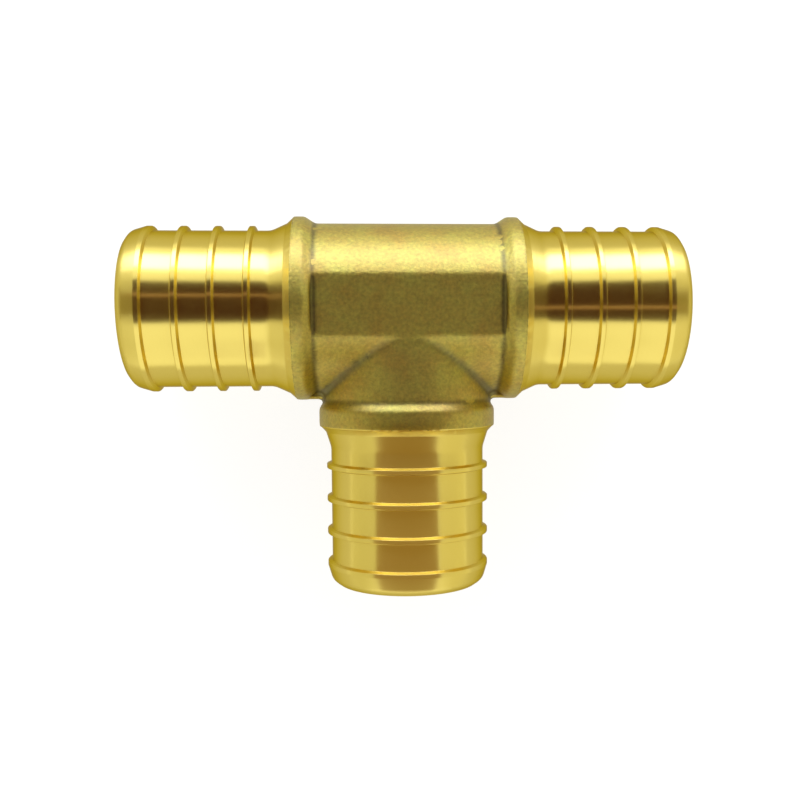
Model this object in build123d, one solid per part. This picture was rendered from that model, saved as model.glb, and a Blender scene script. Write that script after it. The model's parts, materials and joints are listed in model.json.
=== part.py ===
"""Brass insert tee for 3/4 inch PEX tube: one forging with three machined, barbed ends.

The run lies along X, the branch points to -Y and the parting plane of the forging is XY.
The origin is the crossing of the two centre lines. Every size is in millimetres.
"""

import os
from math import tan, radians

from build123d import *

# Driving dimensions of the barbed ends, which are all alike
rib_diameter = 17.5
rib_height = 0.48
rib_count = 4
rib_pitch = 3.56
rib_crest = 0.45
rib_ramp = 0.3
rib_shoulder = 0.25
first_rib_distance = 3.2
nose_lead = 1.5
nose_lead_drop = 0.45
nose_bevel = 0.55
nose_bevel_drop = 0.75

# Driving dimensions of the waterway, where the branch's drill is a little smaller than the run's
run_bore_diameter = 13.5
drill_difference = 0.2

# Driving dimensions of the collars that stop the tube
collar_diameter = 19.5
collar_chamfer = 0.7
collar_back_angle = 33.0
collar_back_distance = 10.7
run_collar_width = 1.8
branch_collar_width = 2.5
relief_length = 1.7

# Driving dimensions of the forged body
body_diameter = 18.06
flat_depth = 0.55
skirt_inset = 0.08
skirt_fillet = 0.9
web_thickness = 3.0
web_inset = 0.05

# Sizes that follow
rib_radius = rib_diameter / 2
barrel_radius = rib_radius - rib_height
run_bore_radius = run_bore_diameter / 2
branch_bore_radius = run_bore_radius - drill_difference / 2
collar_radius = collar_diameter / 2
body_radius = body_diameter / 2
flat_distance = body_radius - flat_depth
skirt_radius = flat_distance - skirt_inset
web_radius = collar_radius - web_inset
nose_length = rib_shoulder + rib_crest + nose_lead + nose_bevel
spigot_length = first_rib_distance + (rib_count - 1) * rib_pitch + nose_length
run_collar_face = collar_back_distance + run_collar_width
branch_collar_face = collar_back_distance + branch_collar_width
run_end = run_collar_face + spigot_length
branch_end = branch_collar_face + spigot_length


def end_profile(collar_face):
    """Half section of a collar and its barbed end, drawn along X with the radius on Y."""
    # The back of the collar runs on down to below the flats, so that it meets them as well.
    root_radius = (run_bore_radius + skirt_radius) / 2
    root_distance = collar_back_distance - (collar_radius - root_radius) / tan(radians(collar_back_angle))
    end = collar_face + spigot_length
    outline = [
        (root_distance, 0),
        (root_distance, root_radius),
        (collar_back_distance, collar_radius),
        (collar_face - collar_chamfer, collar_radius),
        (collar_face, collar_radius - collar_chamfer),
        (collar_face + relief_length, barrel_radius),
    ]
    for rib in range(rib_count):
        foot = collar_face + first_rib_distance + rib * rib_pitch
        crest = foot + rib_shoulder
        outline += [(foot, barrel_radius), (crest, rib_radius), (crest + rib_crest, rib_radius)]
        if rib < rib_count - 1:
            outline.append((crest + rib_crest + rib_ramp, barrel_radius))
    # The outermost rib runs out in a long lead-in and a bevel, over which the tube is pushed on.
    outline += [
        (end - nose_bevel, rib_radius - nose_lead_drop),
        (end, rib_radius - nose_lead_drop - nose_bevel_drop),
        (end, 0),
    ]
    return make_face(Polyline(*outline, close=True))


def barbed_end(collar_face, turn):
    """One collar with its barbed end, turned about Z from +X to where it points."""
    return Rot(0, 0, turn) * revolve(end_profile(collar_face), Axis.X)


def forged_body():
    """The run's cylinder with the skirt of the branch blended in and a flat on either side."""
    run = Rot(0, 90, 0) * Cylinder(body_radius, 2 * collar_back_distance)
    skirt_length = branch_collar_face - collar_chamfer
    skirt = Pos(0, -skirt_length / 2, 0) * Rot(90, 0, 0) * Cylinder(skirt_radius, skirt_length)
    body = run + skirt
    saddle = body.edges().filter_by(lambda edge: is_saddle(edge))
    body = fillet(saddle, skirt_fillet)
    trim = Box(2 * run_end, 2 * branch_end, 2 * flat_distance)
    return body & trim


def is_saddle(edge):
    """Whether an edge lies on the surface of the run's cylinder and on that of the skirt."""
    middle = edge @ 0.5
    from_run = (middle.Y**2 + middle.Z**2) ** 0.5
    from_branch = (middle.X**2 + middle.Z**2) ** 0.5
    return abs(from_run - body_radius) < 0.01 and abs(from_branch - skirt_radius) < 0.01 and middle.Y < 0


def corner_webs():
    """Trimmed flash on the parting plane, in the two corners between the collars."""
    along_run = Rot(0, 90, 0) * Cylinder(web_radius, 2 * collar_back_distance)
    along_branch = Rot(90, 0, 0) * Cylinder(web_radius, 2 * collar_back_distance)
    slab = Pos(0, -collar_back_distance / 2, 0) * Box(
        2 * collar_back_distance, collar_back_distance, web_thickness
    )
    return along_run & along_branch & slab


def waterway():
    """The two drilled bores."""
    run = Rot(0, 90, 0) * Cylinder(run_bore_radius, 2 * run_end)
    branch = Pos(0, -branch_end / 2, 0) * Rot(90, 0, 0) * Cylinder(branch_bore_radius, branch_end)
    return run + branch


ends = [
    barbed_end(run_collar_face, 0),
    barbed_end(run_collar_face, 180),
    barbed_end(branch_collar_face, -90),
]
tee = forged_body() + corner_webs() + ends - waterway()

os.makedirs("parts", exist_ok=True)
export_step(tee, "parts/tee_fitting.step")
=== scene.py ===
"""Forged and turned brass skin of a barbed insert tee, laid out as a Blender add-on.

The run lies along X, the branch points to -Y, and the tee lies on the two collars of the run.
Lengths inside the functions are millimetres, and become metres where a mesh is made.
"""

import json
import math

import bpy
import numpy as np
from bpy.props import FloatProperty, FloatVectorProperty, IntProperty, PointerProperty
from mathutils import Matrix, Vector


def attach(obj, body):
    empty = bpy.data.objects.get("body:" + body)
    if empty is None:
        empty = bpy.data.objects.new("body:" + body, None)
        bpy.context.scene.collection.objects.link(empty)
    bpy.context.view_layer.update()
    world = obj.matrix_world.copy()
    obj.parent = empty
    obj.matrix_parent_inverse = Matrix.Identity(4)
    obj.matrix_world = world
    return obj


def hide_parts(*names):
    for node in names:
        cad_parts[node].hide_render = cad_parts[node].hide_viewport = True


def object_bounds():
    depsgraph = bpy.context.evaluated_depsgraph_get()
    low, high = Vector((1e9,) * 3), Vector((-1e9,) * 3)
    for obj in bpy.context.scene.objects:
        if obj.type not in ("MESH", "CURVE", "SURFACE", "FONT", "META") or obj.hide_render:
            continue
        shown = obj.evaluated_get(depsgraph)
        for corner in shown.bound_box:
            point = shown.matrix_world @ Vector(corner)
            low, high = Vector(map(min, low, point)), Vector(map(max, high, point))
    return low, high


bl_info = {
    "name": "Barbed insert tee",
    "version": (1, 0, 0),
    "blender": (4, 5, 0),
    "location": "View3D > Sidebar > Insert Tee",
    "description": "Forges, turns and drills a brass insert tee and sets the studio for it",
    "category": "Object",
}

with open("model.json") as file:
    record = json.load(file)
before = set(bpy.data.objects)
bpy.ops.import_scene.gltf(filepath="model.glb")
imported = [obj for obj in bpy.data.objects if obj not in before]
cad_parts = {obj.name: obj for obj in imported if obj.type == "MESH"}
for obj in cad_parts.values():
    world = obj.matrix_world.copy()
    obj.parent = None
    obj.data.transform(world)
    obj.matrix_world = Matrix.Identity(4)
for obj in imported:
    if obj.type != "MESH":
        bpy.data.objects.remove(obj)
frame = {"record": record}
CAD_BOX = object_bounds()

MM = 0.001
NODE = "tee_fitting"
PIECE = "brass_tee"
MOUNTS = {mount["name"]: mount for mount in frame["record"]["mounts"]}


def linear(hex_colour):
    """An sRGB hex colour as linear red, green and blue."""
    channels = [int(hex_colour[i : i + 2], 16) / 255 for i in (1, 3, 5)]
    return tuple(c / 12.92 if c <= 0.04045 else ((c + 0.055) / 1.055) ** 2.4 for c in channels)


# ---------------------------------------------------------------- sizes, mostly in millimetres

RIB_RADIUS = MOUNTS["branch_end"]["dims"]["r_mm"]
RUN_BORE_RADIUS = MOUNTS["run_waterway"]["dims"]["r_mm"]
BRANCH_BORE_RADIUS = MOUNTS["branch_waterway"]["dims"]["r_mm"]
RUN_END = CAD_BOX[1].x / MM
BRANCH_END = -CAD_BOX[0].y / MM
COLLAR_RADIUS = CAD_BOX[1].z / MM
FLOOR_HEIGHT = CAD_BOX[0].z / MM

# The barbed ends. A rib stands where its shoulder ends, and its two flanks are steep.
RIB_COUNT = 4
RIB_CREST = 0.45
RIB_SHOULDER = 0.25
NOSE_LEAD = 1.5
NOSE_LEAD_DROP = 0.45
NOSE_BEVEL = 0.55
NOSE_BEVEL_DROP = 0.75
FIRST_RIB_DISTANCE = 3.2
INNER_FLANK = 0.18
OUTER_FLANK = 0.12
RELIEF_LENGTH = 1.7

# The collars that stop the tube, and the forged body between them
COLLAR_CHAMFER = 0.7
COLLAR_BACK_ANGLE = 33.0
COLLAR_BACK = 10.7
BODY_RADIUS = 9.03
FLAT_DISTANCE = 8.48
SKIRT_RADIUS = 8.4
SKIRT_FLARE = 0.8
FLAT_REACH = 9.85
BRANCH_COLLAR_TRIM = 0.24
WEB_RADIUS = 9.7
WEB_THICKNESS = 3.0
FLARE_START = 3.0
FLAT_FRONT = 3.6

# The broken edge of each mouth, and how far a drill runs out past it
MOUTH_BREAK = 0.15
OVERSHOOT = 1.0

# How far the forging and the turned ends run into the collars, so that no two faces coincide
RUN_OVERLAP = 1.2
SKIRT_OVERLAP = 1.8
COLLAR_ROOT_DROP = 0.8
FORGED_CREST_OVERLAP = 0.1
FORGED_OVERLAP = 0.3
FORGED_OVERLAP_DROP = 0.8
TURNED_OVERLAP = 1.3
TURNED_OVERLAP_DROP = 0.5
CHAMFER_OVERLAP = 0.04
CHAMFER_OVERLAP_DROP = 0.02

# Radii that the turning tool leaves in the corners of an end
CHAMFER_EDGE_ROUND = 0.05
COLLAR_FACE_ROUND = 0.25
RELIEF_ROUND = 2.0
RIB_ROOT_ROUND = 0.05
MOUTH_ROUND = 0.3

# How corners are rounded: facets in an arc, the turn in radians that is too slight for one, and
# the most of a side that an arc may take up
ARC_STEPS = 4
SLIGHT_TURN = 0.02
SIDE_SHARE = 0.48

# How far past the start of the chamfer a face counts as turned, and how near a bore's wall as drilled
TURNED_MARGIN = 0.02
DRILLED_MARGIN = 0.03

# Edges that turn by more than this many degrees are shaded sharp
SHARP_ANGLE = 32

# How far one smoothing step moves a point towards its neighbours, from 0 to 1
SMOOTHING_FACTOR = 0.5

# Patterns of the finishes: widths and depths
PATCH_WIDTH = 4.4
DENT_DEPTH = 0.045
FEED_DEPTH = 0.004
SCORE_WIDTH = 0.6
SCORE_DEPTH = 0.01

TABLE_SIZE = 4000
MAT_HEIGHT = 0.2

CAMERA_PLACE = (-3.806, -5.352, 105.785)
CAMERA_AIM = (2.524, -14.281, 0)
CAMERA_ROLL = -0.3
CAMERA_SHIFT = (-0.0375, 0.05)
CAMERA_CLIP = (5, 10000)

# Order of the finishes in the piece's material slots
FORGED, TURNED, DRILLED = range(3)


# ---------------------------------------------------------------- settings


class InsertTeeSizes(bpy.types.PropertyGroup):
    """Sizes of the tee that a user may change."""

    rib_pitch: FloatProperty(
        name="Rib pitch", description="Distance from one rib to the next", default=3.56 * MM, unit="LENGTH"
    )
    rib_height: FloatProperty(
        name="Rib height", description="Height of a rib over the barrel", default=0.48 * MM, unit="LENGTH"
    )
    crest_round: FloatProperty(
        name="Crest round",
        description="Radius that breaks the crest of a rib",
        default=0.06 * MM,
        unit="LENGTH",
    )
    nose_round: FloatProperty(
        name="Nose round",
        description="Radius that rounds the nose of an end",
        default=1.1 * MM,
        unit="LENGTH",
    )
    saddle_steps: IntProperty(
        name="Saddle smoothing",
        description="Smoothing steps that make the fillet under the run",
        default=28,
        min=0,
    )
    edge_steps: IntProperty(
        name="Edge smoothing", description="Smoothing steps that soften the forged edges", default=5, min=0
    )
    skin_voxel: FloatProperty(
        name="Skin voxel", description="Mesh size of the forged skin", default=0.2 * MM, unit="LENGTH"
    )
    segments: IntProperty(name="Segments", description="Facets round a turned end", default=144, min=24)


class InsertTeeFinish(bpy.types.PropertyGroup):
    """Colours and textures of the brass.

    Blasting dents and feed marks are usually finer than these, and are drawn coarser so that they show.
    """

    forged_olive: FloatVectorProperty(
        name="Forged brass", description="Blasted skin", subtype="COLOR", default=linear("#CEC24E")
    )
    forged_brown: FloatVectorProperty(
        name="Browned brass",
        description="Darker patches of scale",
        subtype="COLOR",
        default=linear("#CAAC44"),
    )
    turned_gold: FloatVectorProperty(
        name="Turned brass", description="Freshly cut metal", subtype="COLOR", default=linear("#FFE87A")
    )
    grain: FloatProperty(
        name="Grain", description="Width of a dent left by the blasting", default=0.35 * MM, unit="LENGTH"
    )
    tool_feed: FloatProperty(
        name="Tool feed",
        description="Distance between two marks of the turning tool",
        default=0.25 * MM,
        unit="LENGTH",
    )


class InsertTeeStudio(bpy.types.PropertyGroup):
    """Brightness of the key lamp, and the camera's lens."""

    key_radiance: FloatProperty(
        name="Key light", description="Brightness of the key lamp's face", default=2.45
    )
    lens: FloatProperty(name="Lens", description="Focal length in millimetres", default=43.59)


# ---------------------------------------------------------------- mesh tools


def rounded(corners):
    """A polyline whose corners (along, radius, rounding) are replaced by arcs of that rounding."""
    points = [np.array(corners[0][:2], float)]
    for before, corner, after in zip(corners, corners[1:], corners[2:]):
        here = np.array(corner[:2], float)
        back, ahead = np.array(before[:2]) - here, np.array(after[:2]) - here
        back_length, ahead_length = np.linalg.norm(back), np.linalg.norm(ahead)
        back, ahead = back / back_length, ahead / ahead_length
        inner = math.acos(float(np.clip(back @ ahead, -1, 1)))
        turn = math.pi - inner
        if corner[2] <= 0 or turn < SLIGHT_TURN:
            points.append(here)
            continue
        reach = min(corner[2] / math.tan(inner / 2), SIDE_SHARE * back_length, SIDE_SHARE * ahead_length)
        middle = (back + ahead) / np.linalg.norm(back + ahead)
        centre = here + middle * reach / math.cos(inner / 2)
        start, end = here + back * reach - centre, here + ahead * reach - centre
        for share in np.linspace(0, 1, ARC_STEPS + 1):
            weights = math.sin((1 - share) * turn), math.sin(share * turn)
            points.append(centre + (start * weights[0] + end * weights[1]) / math.sin(turn))
    points.append(np.array(corners[-1][:2], float))
    return points


def new_object(name, vertices, faces):
    """A mesh object from points in millimetres, linked to the scene."""
    mesh = bpy.data.meshes.new(name)
    mesh.from_pydata([tuple(float(c) * MM for c in v) for v in vertices], [], faces)
    made = bpy.data.objects.new(name, mesh)
    bpy.context.scene.collection.objects.link(made)
    return made


def lathe(name, profile, segments, turn=0.0):
    """A closed solid turned about X from (along, radius) points, then turned about Z.

    The first and the last point of the profile lie on the axis.
    """
    angles = np.linspace(0, 2 * math.pi, segments, endpoint=False)
    vertices = [(profile[0][0], 0, 0)]
    for along, radius in profile[1:-1]:
        vertices += [(along, radius * math.cos(a), radius * math.sin(a)) for a in angles]
    vertices.append((profile[-1][0], 0, 0))
    last = len(vertices) - 1 - segments
    faces = []
    for i in range(segments):
        j = (i + 1) % segments
        faces += [(0, 1 + j, 1 + i), (last + i, last + j, last + segments)]
        for low in range(1, last, segments):
            faces.append((low + i, low + j, low + segments + j, low + segments + i))
    made = new_object(name, vertices, faces)
    made.data.transform(Matrix.Rotation(math.radians(turn), 4, "Z"))
    return made


def block(name, low, high):
    """A closed box between two corners."""
    corners = [(x, y, z) for x in (low[0], high[0]) for y in (low[1], high[1]) for z in (low[2], high[2])]
    faces = [(0, 1, 3, 2), (4, 6, 7, 5), (0, 4, 5, 1), (2, 3, 7, 6), (0, 2, 6, 4), (1, 5, 7, 3)]
    return new_object(name, corners, faces)


def rectangle(name, width, height):
    """A flat sheet round the origin, facing up."""
    x, y = width / 2, height / 2
    return new_object(name, [(-x, -y, 0), (x, -y, 0), (x, y, 0), (-x, y, 0)], [(0, 1, 2, 3)])


def apply_modifiers(piece):
    """Bakes the modifiers of a piece into its mesh."""
    graph = bpy.context.evaluated_depsgraph_get()
    old = piece.data
    piece.data = bpy.data.meshes.new_from_object(piece.evaluated_get(graph))
    piece.modifiers.clear()
    bpy.data.meshes.remove(old)
    if not piece.data.polygons:
        raise RuntimeError(f"{piece.name} was left with no faces")


def combine(piece, tool, operation):
    """Joins, cuts or trims the piece with a tool, which is used up."""
    modifier = piece.modifiers.new(operation, "BOOLEAN")
    modifier.operation = operation
    modifier.solver = "MANIFOLD"
    modifier.object = tool
    apply_modifiers(piece)
    bpy.data.objects.remove(tool)


def reskin(piece, voxel, steps):
    """Gives the piece an even skin and smooths it, which rounds every edge."""
    remesh = piece.modifiers.new("skin", "REMESH")
    remesh.mode = "VOXEL"
    remesh.voxel_size = voxel
    smooth = piece.modifiers.new("soften", "SMOOTH")
    smooth.factor = SMOOTHING_FACTOR
    smooth.iterations = steps
    apply_modifiers(piece)


# ---------------------------------------------------------------- shape


def end_directions():
    """Angle about Z, length and collar radius of each barbed end: right, left and branch."""
    return [(0, RUN_END, COLLAR_RADIUS), (180, RUN_END, COLLAR_RADIUS),
            (-90, BRANCH_END, COLLAR_RADIUS - BRANCH_COLLAR_TRIM)]


def spigot_length(sizes):
    """Length of a barbed end from the face of its collar to its mouth."""
    ribs = (RIB_COUNT - 1) * sizes.rib_pitch / MM
    return FIRST_RIB_DISTANCE + ribs + RIB_SHOULDER + RIB_CREST + NOSE_LEAD + NOSE_BEVEL


def forged_collar(end, radius, sizes):
    """Profile of the forged collar, from its sloping back to its crest."""
    front = end - spigot_length(sizes) - COLLAR_CHAMFER
    root_radius = SKIRT_RADIUS - COLLAR_ROOT_DROP
    root = COLLAR_BACK - (radius - root_radius) / math.tan(math.radians(COLLAR_BACK_ANGLE))
    return [
        (root, 0),
        (root, root_radius),
        (COLLAR_BACK, radius),
        (front + FORGED_CREST_OVERLAP, radius),
        (front + FORGED_OVERLAP, radius - FORGED_OVERLAP_DROP),
        (front + FORGED_OVERLAP, 0),
    ]


def turned_end(end, radius, sizes):
    """Profile of what the lathe leaves: collar chamfer, relief, four ribs and a rounded nose."""
    face = end - spigot_length(sizes)
    barrel = RIB_RADIUS - sizes.rib_height / MM
    crest_round = sizes.crest_round / MM
    corners = [
        (face - TURNED_OVERLAP, 0, 0),
        (face - TURNED_OVERLAP, radius - TURNED_OVERLAP_DROP, 0),
        (face - COLLAR_CHAMFER - CHAMFER_OVERLAP, radius - CHAMFER_OVERLAP_DROP, CHAMFER_EDGE_ROUND),
        (face, radius - COLLAR_CHAMFER, COLLAR_FACE_ROUND),
        (face + RELIEF_LENGTH, barrel, RELIEF_ROUND),
    ]
    for rib in range(RIB_COUNT):
        crest = face + FIRST_RIB_DISTANCE + rib * sizes.rib_pitch / MM + RIB_SHOULDER
        corners += [
            (crest - INNER_FLANK, barrel, RIB_ROOT_ROUND),
            (crest, RIB_RADIUS, crest_round),
            (crest + RIB_CREST, RIB_RADIUS, crest_round),
        ]
        if rib < RIB_COUNT - 1:
            corners.append((crest + RIB_CREST + OUTER_FLANK, barrel, RIB_ROOT_ROUND))
    corners += [
        (end - NOSE_BEVEL, RIB_RADIUS - NOSE_LEAD_DROP, sizes.nose_round / MM),
        (end, RIB_RADIUS - NOSE_LEAD_DROP - NOSE_BEVEL_DROP, MOUTH_ROUND),
        (end, 0, 0),
    ]
    return rounded(corners)


def forge(sizes):
    """The blank as it leaves the dies: run, skirt, flats, collars and the webs in the corners."""
    segments = sizes.segments
    # The run and the skirt end inside the collars, where the softening of their ends stays hidden.
    half = COLLAR_BACK + RUN_OVERLAP
    deep = COLLAR_BACK + SKIRT_OVERLAP
    blank = lathe("run", [(-half, 0), (-half, BODY_RADIUS), (half, BODY_RADIUS), (half, 0)], segments)
    flared = SKIRT_RADIUS + SKIRT_FLARE
    skirt = [(0, 0), (0, SKIRT_RADIUS), (FLARE_START, SKIRT_RADIUS), (deep, flared), (deep, 0)]
    combine(blank, lathe("skirt", skirt, segments, -90), "UNION")
    reskin(blank, sizes.skin_voxel, sizes.saddle_steps)
    for turn, end, radius in end_directions():
        combine(blank, lathe("collar", forged_collar(end, radius, sizes), segments, turn), "UNION")
    for side in (-1, 1):
        low, high = sorted((side * FLAT_DISTANCE, side * 2 * FLAT_DISTANCE))
        cutter = block("flat", (-FLAT_REACH, -FLAT_FRONT, low), (FLAT_REACH, COLLAR_BACK, high))
        combine(blank, cutter, "DIFFERENCE")
    web = block("web", (-COLLAR_BACK, -COLLAR_BACK, -WEB_THICKNESS / 2), (COLLAR_BACK, 0, WEB_THICKNESS / 2))
    crest = [(-COLLAR_BACK, 0), (-COLLAR_BACK, WEB_RADIUS), (COLLAR_BACK, WEB_RADIUS), (COLLAR_BACK, 0)]
    combine(web, lathe("crest", crest, segments), "INTERSECT")
    combine(blank, web, "UNION")
    reskin(blank, sizes.skin_voxel, sizes.edge_steps)
    return blank


def drill(piece, sizes):
    """Bores the run from end to end and the branch into it, and breaks the edge of each mouth."""
    wider = MOUTH_BREAK + OVERSHOOT
    radius = RUN_BORE_RADIUS
    mouth = RUN_END - MOUTH_BREAK
    deep = RUN_END + OVERSHOOT
    profile = [
        (-deep, 0),
        (-deep, radius + wider),
        (-mouth, radius),
        (mouth, radius),
        (deep, radius + wider),
        (deep, 0),
    ]
    combine(piece, lathe("run_drill", profile, sizes.segments), "DIFFERENCE")
    radius = BRANCH_BORE_RADIUS
    mouth = BRANCH_END - MOUTH_BREAK
    deep = BRANCH_END + OVERSHOOT
    profile = [(0, 0), (0, radius), (mouth, radius), (deep, radius + wider), (deep, 0)]
    combine(piece, lathe("branch_drill", profile, sizes.segments, -90), "DIFFERENCE")


def zones(mesh, sizes):
    """Gives each face the finish of the tool that left it."""
    count = len(mesh.polygons)
    centres = np.empty(count * 3)
    mesh.polygons.foreach_get("center", centres)
    x, y, z = (centres.reshape(-1, 3) / MM).T
    run_radius, branch_radius = np.hypot(y, z), np.hypot(x, z)
    length = spigot_length(sizes)
    turned_run = np.abs(x) > RUN_END - length - COLLAR_CHAMFER + TURNED_MARGIN
    turned_branch = -y > BRANCH_END - length - COLLAR_CHAMFER + TURNED_MARGIN
    drilled_run = run_radius < RUN_BORE_RADIUS + DRILLED_MARGIN
    drilled_branch = (branch_radius < BRANCH_BORE_RADIUS + DRILLED_MARGIN) & (y < 0)
    index = np.where(turned_run | turned_branch, TURNED, FORGED)
    index = np.where(drilled_run | drilled_branch, DRILLED, index)
    mesh.polygons.foreach_set("material_index", index.astype(np.int32))
    mesh.polygons.foreach_set("use_smooth", np.ones(count, bool))
    mesh.set_sharp_from_angle(angle=math.radians(SHARP_ANGLE))


# ---------------------------------------------------------------- finish


def add_node(tree, kind, settings=None, links=None):
    """Adds a shader node.

    Settings are attributes or socket values, and a link comes from a socket or a node.
    """
    made = tree.nodes.new(kind)
    settings = dict(settings or {})
    for name in [name for name in settings if hasattr(made, name)]:
        setattr(made, name, settings.pop(name))
    sockets = {socket.name: socket for socket in reversed(made.inputs)}
    sockets.update({socket.identifier: socket for socket in made.inputs})
    for name, value in settings.items():
        sockets[name].default_value = value
    for name, source in (links or {}).items():
        if isinstance(source, bpy.types.Node):
            source = next(socket for socket in source.outputs if socket.enabled)
        tree.links.new(source, sockets[name])
    return made


def new_material(name):
    """An empty node material and its tree."""
    made = bpy.data.materials.new(name)
    made.use_nodes = True
    made.node_tree.nodes.clear()
    return made, made.node_tree


def rgba(colour):
    """A colour with full alpha."""
    return (*colour, 1.0)


def blasted_brass(finish):
    """Hot forged brass, shot blasted: a satin, grainy skin that spreads highlights, with browner patches.

    A thin film of oil and oxide over it whitens the brightest highlights a little. The colour is darkened
    in the hollows and creases, a painted shade.
    """
    made, tree = new_material("blasted_forged_brass")
    place = add_node(tree, "ShaderNodeTexCoord").outputs["Object"]
    grain = add_node(tree, "ShaderNodeTexNoise", {"Scale": 1 / finish.grain, "Detail": 3.0, "Roughness": 0.6},
                     {"Vector": place})
    patches = add_node(tree, "ShaderNodeTexNoise",
                       {"Scale": 1 / (PATCH_WIDTH * MM), "Detail": 6.0, "Roughness": 0.75}, {"Vector": place})
    spread = add_node(tree, "ShaderNodeMapRange", {"From Min": 0.36, "From Max": 0.64},
                      {"Value": patches.outputs[0]})
    skin = add_node(tree, "ShaderNodeMix", {"data_type": "RGBA", "A_Color": rgba(finish.forged_olive),
                                            "B_Color": rgba(finish.forged_brown)},
                    {"Factor_Float": spread.outputs["Result"]})
    dents = add_node(tree, "ShaderNodeMapRange",
                     {"From Min": 0.3, "From Max": 0.7, "To Min": 0.82, "To Max": 1.18},
                     {"Value": grain.outputs[0]})
    # Pointiness is 0.5 on even skin and falls in hollows and creases, so only these get a painted shade.
    painted_hollow_shade = add_node(tree, "ShaderNodeMapRange", {"From Min": 0.486, "From Max": 0.4988, "To Min": 0.35},
                      {"Value": add_node(tree, "ShaderNodeNewGeometry").outputs["Pointiness"]})
    shade = add_node(tree, "ShaderNodeMath", {"operation": "MULTIPLY"},
                     {"Value": dents.outputs["Result"], "Value_001": painted_hollow_shade.outputs["Result"]})
    colour = add_node(tree, "ShaderNodeVectorMath", {"operation": "MULTIPLY"},
                      {"Vector": skin, "Vector_001": shade.outputs[0]})
    bump = add_node(tree, "ShaderNodeBump", {"Strength": 1.0, "Distance": DENT_DEPTH * MM},
                    {"Height": grain.outputs[0]})
    shader = add_node(tree, "ShaderNodeBsdfPrincipled",
                      {"Metallic": 1.0, "Roughness": 0.48, "Coat Weight": 1.0, "Coat Roughness": 0.4,
                       "Specular Tint": rgba(linear("#C4BC90"))},
                      {"Base Color": colour, "Normal": bump.outputs["Normal"]})
    add_node(tree, "ShaderNodeOutputMaterial", {}, {"Surface": shader.outputs["BSDF"]})
    return made


def turned_brass(finish):
    """Free-cutting brass as the tool left it.

    It is mirror-like round the barrel and softened along it by the feed marks. Run and branch are told
    apart by which of the two a point is farther along.
    """
    made, tree = new_material("turned_brass")
    place = add_node(tree, "ShaderNodeTexCoord").outputs["Object"]
    axes = add_node(tree, "ShaderNodeSeparateXYZ", {}, {"Vector": place})
    along_run = add_node(tree, "ShaderNodeMath", {"operation": "ABSOLUTE"}, {"Value": axes.outputs["X"]})
    along_branch = add_node(tree, "ShaderNodeMath", {"operation": "MULTIPLY", "Value_001": -1.0},
                            {"Value": axes.outputs["Y"]})
    along = add_node(tree, "ShaderNodeMath", {"operation": "MAXIMUM"},
                     {"Value": along_run.outputs[0], "Value_001": along_branch.outputs[0]})
    marks = add_node(tree, "ShaderNodeTexNoise", {"noise_dimensions": "1D", "Scale": 1 / finish.tool_feed,
                                                  "Detail": 2.0}, {"W": along.outputs[0]})
    bump = add_node(tree, "ShaderNodeBump", {"Strength": 1.0, "Distance": FEED_DEPTH * MM},
                    {"Height": marks.outputs[0]})
    on_branch = add_node(tree, "ShaderNodeMath", {"operation": "GREATER_THAN"},
                         {"Value": along_branch.outputs[0], "Value_001": along_run.outputs[0]})
    axis = add_node(tree, "ShaderNodeMix",
                    {"data_type": "VECTOR", "A_Vector": (1, 0, 0), "B_Vector": (0, 1, 0)},
                    {"Factor_Float": on_branch.outputs[0]})
    shader = add_node(tree, "ShaderNodeBsdfPrincipled",
                      {"Metallic": 1.0, "Roughness": 0.28, "Anisotropic": 0.9,
                       "Base Color": rgba(finish.turned_gold), "Specular Tint": rgba(linear("#C8B878"))},
                      {"Normal": bump.outputs["Normal"], "Tangent": axis})
    add_node(tree, "ShaderNodeOutputMaterial", {}, {"Surface": shader.outputs["BSDF"]})
    return made


def drilled_brass(finish):
    """The wall of the waterway, scored by the drill and duller than the turned outside."""
    made, tree = new_material("drilled_brass")
    place = add_node(tree, "ShaderNodeTexCoord").outputs["Object"]
    scores = add_node(tree, "ShaderNodeTexNoise", {"Scale": 1 / (SCORE_WIDTH * MM), "Detail": 2.0},
                      {"Vector": place})
    bump = add_node(tree, "ShaderNodeBump", {"Strength": 1.0, "Distance": SCORE_DEPTH * MM},
                    {"Height": scores.outputs[0]})
    shader = add_node(tree, "ShaderNodeBsdfPrincipled",
                      {"Metallic": 1.0, "Roughness": 0.3, "Base Color": rgba(finish.turned_gold)},
                      {"Normal": bump.outputs["Normal"]})
    add_node(tree, "ShaderNodeOutputMaterial", {}, {"Surface": shader.outputs["BSDF"]})
    return made


# ---------------------------------------------------------------- studio


def board(name, size, place, colour, turn=0, shades=True):
    """A flat board that glows evenly in its colour and that only the metal sees, turned about Y by an angle
    in degrees.
    """
    made = rectangle(name, *size)
    made.location = Vector(place) * MM
    made.rotation_euler.y = math.radians(turn)
    # The board's colour is a glow of its own, not paint lit by the lamps.
    paint, tree = new_material(name + "_paint")
    shader = add_node(tree, "ShaderNodeEmission", {"Color": rgba(linear(colour))})
    add_node(tree, "ShaderNodeOutputMaterial", {}, {"Surface": shader.outputs["Emission"]})
    made.data.materials.append(paint)
    made.visible_camera = False
    made.visible_shadow = shades
    made.visible_diffuse = shades


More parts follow.
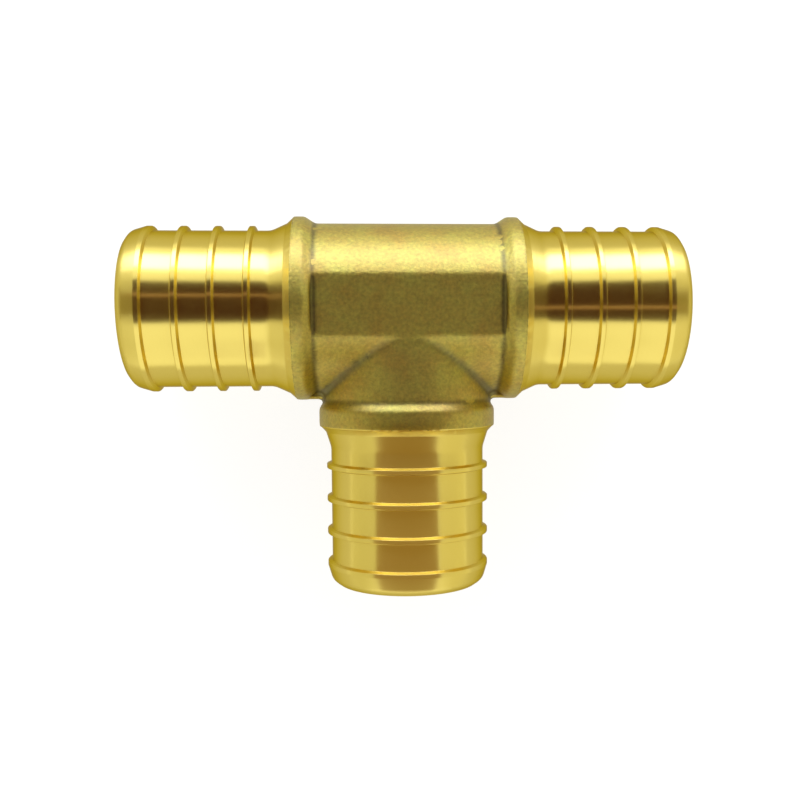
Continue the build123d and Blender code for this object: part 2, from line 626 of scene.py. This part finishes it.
def set_boards():
    """The surroundings that the brass mirrors."""
    # A dark board over the run gives the turned ends their dark middle.
    board("run_board", size=(120, 66.6), place=(0, 10.6, 60), colour="#3D2222")
    for side, batten_place in ((-1, 3.4), (1, -0.45)):
        # Close over each end the dark band goes on, with a paler line through it.
        board("end_board", size=(14, 13.1), place=(side * 25, 2.05, 16), colour="#3D2222", shades=False)
        board("batten", size=(20, 0.9), place=(side * 24, batten_place, 15.8), colour="#A08074", shades=False)
        # Beyond each end, a board gives the rounded nose its duller edge.
        board("nose_board", size=(45, 23), place=(side * 60, 3.5, 38), colour="#988C68", turn=90,
              shades=False)
    # A brown board over the branch gives its turned end a band of its own.
    board("branch_board", size=(25, 35), place=(-1.4, -31, 16), colour="#947A58")
    # Pale walls on either side are mirrored in the flanks of the branch.
    board("left_board", size=(150, 310), place=(-150, -45, 70), colour="#D0CCB5", turn=90)
    board("right_board", size=(150, 310), place=(150, -45, 70), colour="#DAD5BB", turn=90)
    # The brass sees this in place of the brighter table under it.
    board("mat", size=(300, 540), place=(0, -130, FLOOR_HEIGHT + MAT_HEIGHT), colour="#CDC9BB", shades=False)


def lamp(name, size, place, aim, radiance, colour):
    """A rectangular softbox whose face has the given brightness."""
    light = bpy.data.lights.new(name, "AREA")
    light.shape = "RECTANGLE"
    light.size = size[0] * MM
    light.size_y = size[1] * MM
    light.energy = radiance * math.pi * light.size * light.size_y
    light.color = colour
    made = bpy.data.objects.new(name, light)
    bpy.context.scene.collection.objects.link(made)
    made.matrix_world = look(Vector(place) * MM, Vector(aim) * MM)


def set_world():
    """An even white surround."""
    world = bpy.data.worlds.new("white_surround")
    world.use_nodes = True
    world.node_tree.nodes.clear()
    sky = add_node(world.node_tree, "ShaderNodeBackground", {"Color": (1, 1, 1, 1), "Strength": 1.0})
    add_node(world.node_tree, "ShaderNodeOutputWorld", {}, {"Surface": sky.outputs[0]})
    bpy.context.scene.world = world


def set_floor():
    """A white table that shows white, less the shadow under the object.

    The camera and the brass see it glow. To the light that it scatters it is plain grey.
    """
    made, tree = new_material("white_table")
    rays = add_node(tree, "ShaderNodeLightPath")
    seen = add_node(tree, "ShaderNodeMath", {"operation": "MAXIMUM"},
                    {"Value": rays.outputs["Is Camera Ray"], "Value_001": rays.outputs["Is Glossy Ray"]})
    seen = add_node(tree, "ShaderNodeMath", {"operation": "MAXIMUM"},
                    {"Value": seen.outputs[0], "Value_001": rays.outputs["Is Transmission Ray"]})
    paint = add_node(tree, "ShaderNodeBsdfDiffuse", {"Color": (0.3, 0.3, 0.3, 1)})
    glow = add_node(tree, "ShaderNodeEmission", {"Color": (1, 1, 1, 1), "Strength": 0.85})
    lit = add_node(tree, "ShaderNodeAddShader", {},
                   {"Shader": paint.outputs[0], "Shader_001": glow.outputs[0]})
    shown = add_node(tree, "ShaderNodeMixShader", {},
                     {"Fac": seen.outputs[0], "Shader": paint.outputs[0], "Shader_001": lit.outputs[0]})
    add_node(tree, "ShaderNodeOutputMaterial", {}, {"Surface": shown.outputs[0]})
    floor = rectangle("table", TABLE_SIZE, TABLE_SIZE)
    floor.location.z = FLOOR_HEIGHT * MM
    floor.data.materials.append(made)


def look(place, aim, roll=0.0):
    """The matrix of something that looks from one point to another, with +Y upwards and then rolled."""
    forward = (aim - place).normalized()
    right = forward.cross(Vector((0, 1, 0))).normalized()
    turned = Matrix((right, right.cross(forward), -forward)).transposed()
    return Matrix.Translation(place) @ (turned @ Matrix.Rotation(math.radians(roll), 3, "Z")).to_4x4()


def set_camera(studio):
    """The camera above the table."""
    data = bpy.data.cameras.new("camera")
    data.lens = studio.lens
    data.shift_x, data.shift_y = CAMERA_SHIFT
    data.clip_start, data.clip_end = (distance * MM for distance in CAMERA_CLIP)
    made = bpy.data.objects.new("camera", data)
    bpy.context.scene.collection.objects.link(made)
    made.matrix_world = look(Vector(CAMERA_PLACE) * MM, Vector(CAMERA_AIM) * MM, CAMERA_ROLL)
    bpy.context.scene.camera = made


# ---------------------------------------------------------------- operators


class INSERT_TEE_OT_forge(bpy.types.Operator):
    """Forges the blank of the tee"""

    bl_idname = "insert_tee.forge"
    bl_label = "Forge the body"

    def execute(self, context):
        sizes = context.scene.insert_tee_sizes
        blank = forge(sizes)
        blank.name = PIECE
        return {"FINISHED"}


class INSERT_TEE_OT_turn_ends(bpy.types.Operator):
    """Turns the three barbed ends"""

    bl_idname = "insert_tee.turn_ends"
    bl_label = "Turn the barbed ends"

    def execute(self, context):
        sizes = context.scene.insert_tee_sizes
        piece = bpy.data.objects[PIECE]
        for turn, end, radius in end_directions():
            combine(piece, lathe("barbed_end", turned_end(end, radius, sizes), sizes.segments, turn), "UNION")
        return {"FINISHED"}


class INSERT_TEE_OT_drill_waterway(bpy.types.Operator):
    """Drills the waterway and finishes the brass"""

    bl_idname = "insert_tee.drill_waterway"
    bl_label = "Drill the waterway"

    def execute(self, context):
        sizes = context.scene.insert_tee_sizes
        finish = context.scene.insert_tee_finish
        piece = bpy.data.objects[PIECE]
        drill(piece, sizes)
        piece.data.materials.clear()
        for material in (blasted_brass(finish), turned_brass(finish), drilled_brass(finish)):
            piece.data.materials.append(material)
        zones(piece.data, sizes)
        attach(piece, "root")
        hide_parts(NODE)
        return {"FINISHED"}


class INSERT_TEE_OT_set_studio(bpy.types.Operator):
    """Sets the table, the lamp, the boards and the camera"""

    bl_idname = "insert_tee.set_studio"
    bl_label = "Set the studio"

    def execute(self, context):
        studio = context.scene.insert_tee_studio
        context.scene.view_settings.view_transform = "Standard"
        set_world()
        set_floor()
        set_boards()
        lamp("key_lamp", size=(300, 74), place=(0, 150, 58), aim=(0, 0, 0), radiance=studio.key_radiance,
             colour=(0.9, 0.97, 1.6))
        set_camera(studio)
        return {"FINISHED"}


class INSERT_TEE_PT_panel(bpy.types.Panel):
    """Steps and settings of the insert tee"""

    bl_label = "Insert Tee"
    bl_idname = "INSERT_TEE_PT_panel"
    bl_space_type = "VIEW_3D"
    bl_region_type = "UI"
    bl_category = "Insert Tee"

    def draw(self, context):
        for step in STEPS:
            self.layout.operator(step.bl_idname)
        for name in GROUPS:
            group = getattr(context.scene, name)
            for setting in group.bl_rna.properties.keys():
                if setting not in ("rna_type", "name"):
                    self.layout.prop(group, setting)


STEPS = (INSERT_TEE_OT_forge, INSERT_TEE_OT_turn_ends, INSERT_TEE_OT_drill_waterway, INSERT_TEE_OT_set_studio)
GROUPS = {
    "insert_tee_sizes": InsertTeeSizes,
    "insert_tee_finish": InsertTeeFinish,
    "insert_tee_studio": InsertTeeStudio,
}


def register():
    """Registers the settings, the steps and the panel."""
    for name, group in GROUPS.items():
        bpy.utils.register_class(group)
        setattr(bpy.types.Scene, name, PointerProperty(type=group))
    for kind in (*STEPS, INSERT_TEE_PT_panel):
        bpy.utils.register_class(kind)


def unregister():
    """Removes what register added."""
    for kind in (INSERT_TEE_PT_panel, *reversed(STEPS)):
        bpy.utils.unregister_class(kind)
    for name, group in GROUPS.items():
        delattr(bpy.types.Scene, name)
        bpy.utils.unregister_class(group)


def main():
    """Makes the tee and its studio."""
    register()
    bpy.ops.insert_tee.forge()
    bpy.ops.insert_tee.turn_ends()
    bpy.ops.insert_tee.drill_waterway()
    bpy.ops.insert_tee.set_studio()


if __name__ == "__main__":
    main()
